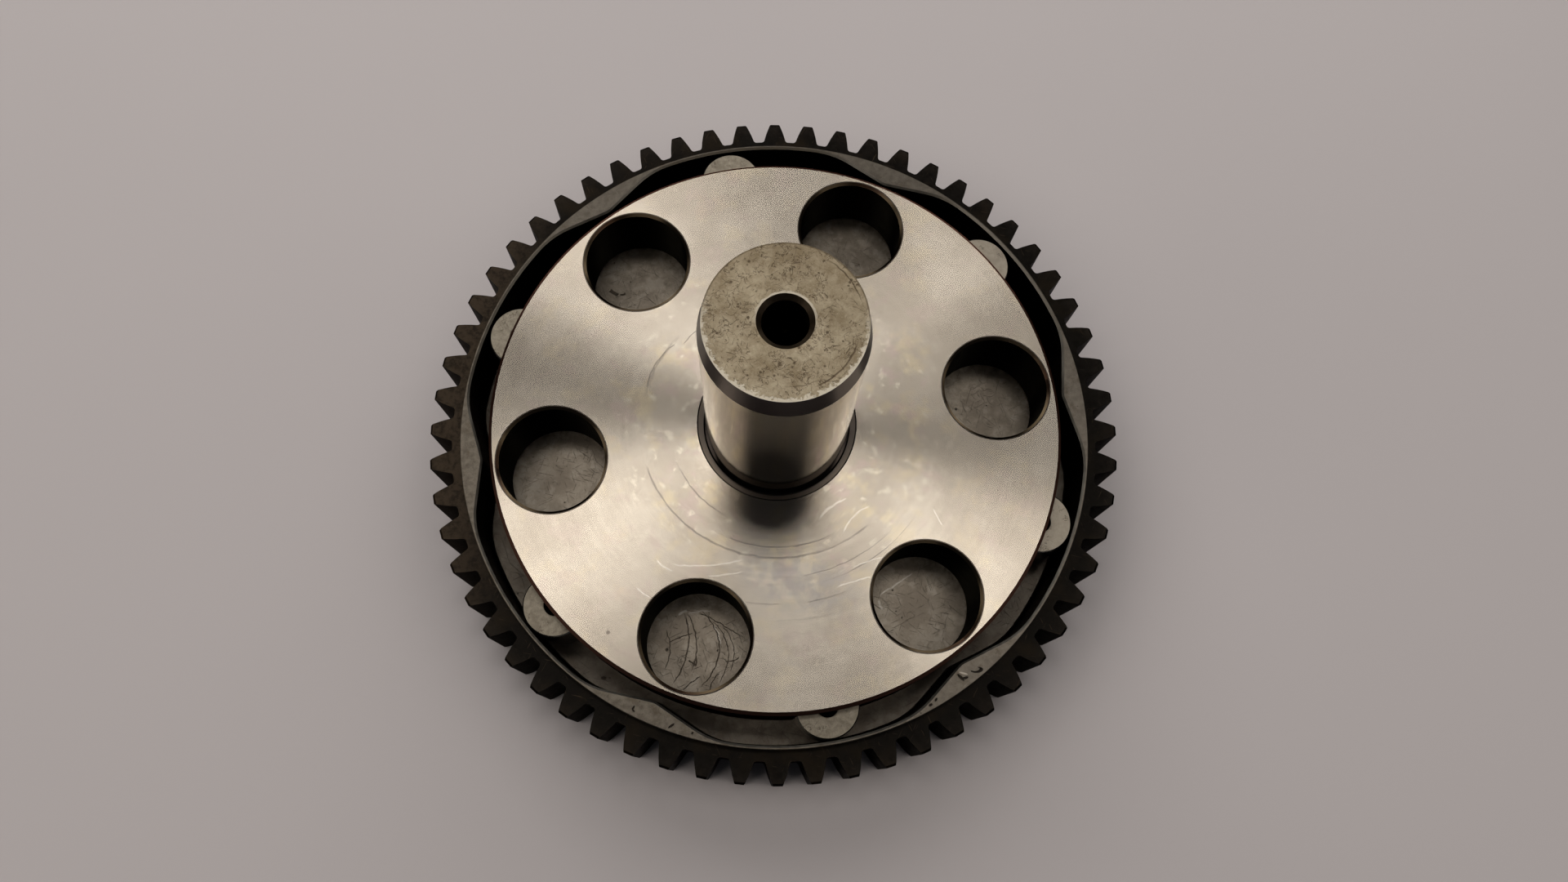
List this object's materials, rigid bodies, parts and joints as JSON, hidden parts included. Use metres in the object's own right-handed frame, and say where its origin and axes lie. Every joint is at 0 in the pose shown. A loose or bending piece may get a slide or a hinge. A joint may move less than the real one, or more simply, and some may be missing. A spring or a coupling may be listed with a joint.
{
  "type": "roller overload clutch gear",
  "caption": "Toothed ring with a lobed bore around a slotted rotor disc on a plain shaft; sprung rollers at the rotor's rim drive the ring and ride over its lobes on overload.",
  "frame": {"origin": "on the shaft axis, in the ring gear's back face, on which the clutch stands", "axes": "+Z along the shaft axis towards its long free end; +X to the right when the long end is up"},
  "size_m": [0.124, 0.124, 0.0699],
  "materials": {
    "gear_steel": "dark hardened steel with a ground raised land",
    "plate_steel": "dull ground steel, scratched",
    "turned_steel": "fine-turned bright steel",
    "ground_steel": "ground steel",
    "roller_steel": "ground bearing steel with matt ends",
    "spring_steel": "oiled black spring steel",
    "bronze": "bearing bronze"
  },
  "bodies": {
    "gear_assembly": {"ring_gear": "gear_steel", "star_plate": "plate_steel", "plate_bush": "bronze"},
    "rotor_assembly": {"rotor": "turned_steel", "shaft": "ground_steel", "thrust_washer": "bronze", "support_washer": "spring_steel", "retaining_clip": "spring_steel", "spring_1": "spring_steel", "spring_2": "spring_steel", "spring_3": "spring_steel", "spring_4": "spring_steel", "spring_5": "spring_steel", "spring_6": "spring_steel"},
    "plunger_body_1": {"plunger_1": "ground_steel"},
    "roller_body_1": {"roller_1": "roller_steel"},
    "plunger_body_2": {"plunger_2": "ground_steel"},
    "roller_body_2": {"roller_2": "roller_steel"},
    "plunger_body_3": {"plunger_3": "ground_steel"},
    "roller_body_3": {"roller_3": "roller_steel"},
    "plunger_body_4": {"plunger_4": "ground_steel"},
    "roller_body_4": {"roller_4": "roller_steel"},
    "plunger_body_5": {"plunger_5": "ground_steel"},
    "roller_body_5": {"roller_5": "roller_steel"},
    "plunger_body_6": {"plunger_6": "ground_steel"},
    "roller_body_6": {"roller_6": "roller_steel"}
  },
  "joints": [
    {"name": "rotor_turn", "type": "hinge", "parent": "gear_assembly", "child": "rotor_assembly", "pos_m": [0, 0, 0], "axis": [0, 0, 1], "range_deg": [0, 27]},
    {"name": "plunger_1_slide", "type": "slide", "parent": "rotor_assembly", "child": "plunger_body_1", "axis": [-0.7108, -0.7034, 0], "range_m": [0, 0.0033], "deforming": ["spring_1"]},
    {"name": "roller_1_spin", "type": "hinge", "parent": "plunger_body_1", "child": "roller_body_1", "pos_m": [0.03533, 0.03496, 0.01165], "axis": [0, 0, 1], "continuous": true},
    {"name": "plunger_2_slide", "type": "slide", "parent": "rotor_assembly", "child": "plunger_body_2", "axis": [0.2538, -0.9673, 0], "range_m": [0, 0.0033], "deforming": ["spring_2"]},
    {"name": "roller_2_spin", "type": "hinge", "parent": "plunger_body_2", "child": "roller_body_2", "pos_m": [-0.01261, 0.04807, 0.01165], "axis": [0, 0, 1], "continuous": true},
    {"name": "plunger_3_slide", "type": "slide", "parent": "rotor_assembly", "child": "plunger_body_3", "axis": [0.9646, -0.2639, 0], "range_m": [0, 0.0033], "deforming": ["spring_3"]},
    {"name": "roller_3_spin", "type": "hinge", "parent": "plunger_body_3", "child": "roller_body_3", "pos_m": [-0.04794, 0.01311, 0.01165], "axis": [0, 0, 1], "continuous": true},
    {"name": "plunger_4_slide", "type": "slide", "parent": "rotor_assembly", "child": "plunger_body_4", "axis": [0.7108, 0.7034, 0], "range_m": [0, 0.0033], "deforming": ["spring_4"]},
    {"name": "roller_4_spin", "type": "hinge", "parent": "plunger_body_4", "child": "roller_body_4", "pos_m": [-0.03533, -0.03496, 0.01165], "axis": [0, 0, 1], "continuous": true},
    {"name": "plunger_5_slide", "type": "slide", "parent": "rotor_assembly", "child": "plunger_body_5", "axis": [-0.2538, 0.9673, 0], "range_m": [0, 0.0033], "deforming": ["spring_5"]},
    {"name": "roller_5_spin", "type": "hinge", "parent": "plunger_body_5", "child": "roller_body_5", "pos_m": [0.01261, -0.04807, 0.01165], "axis": [0, 0, 1], "continuous": true},
    {"name": "plunger_6_slide", "type": "slide", "parent": "rotor_assembly", "child": "plunger_body_6", "axis": [-0.9646, 0.2639, 0], "range_m": [0, 0.0033], "deforming": ["spring_6"]},
    {"name": "roller_6_spin", "type": "hinge", "parent": "plunger_body_6", "child": "roller_body_6", "pos_m": [0.04794, -0.01311, 0.01165], "axis": [0, 0, 1], "continuous": true}
  ],
  "couplings": [
    {"joint": "plunger_1_slide", "follows": "rotor_turn", "m_per_rad": 0.007},
    {"joint": "plunger_2_slide", "follows": "rotor_turn", "m_per_rad": 0.007},
    {"joint": "plunger_3_slide", "follows": "rotor_turn", "m_per_rad": 0.007},
    {"joint": "plunger_4_slide", "follows": "rotor_turn", "m_per_rad": 0.007},
    {"joint": "plunger_5_slide", "follows": "rotor_turn", "m_per_rad": 0.007},
    {"joint": "plunger_6_slide", "follows": "rotor_turn", "m_per_rad": 0.007}
  ]
}
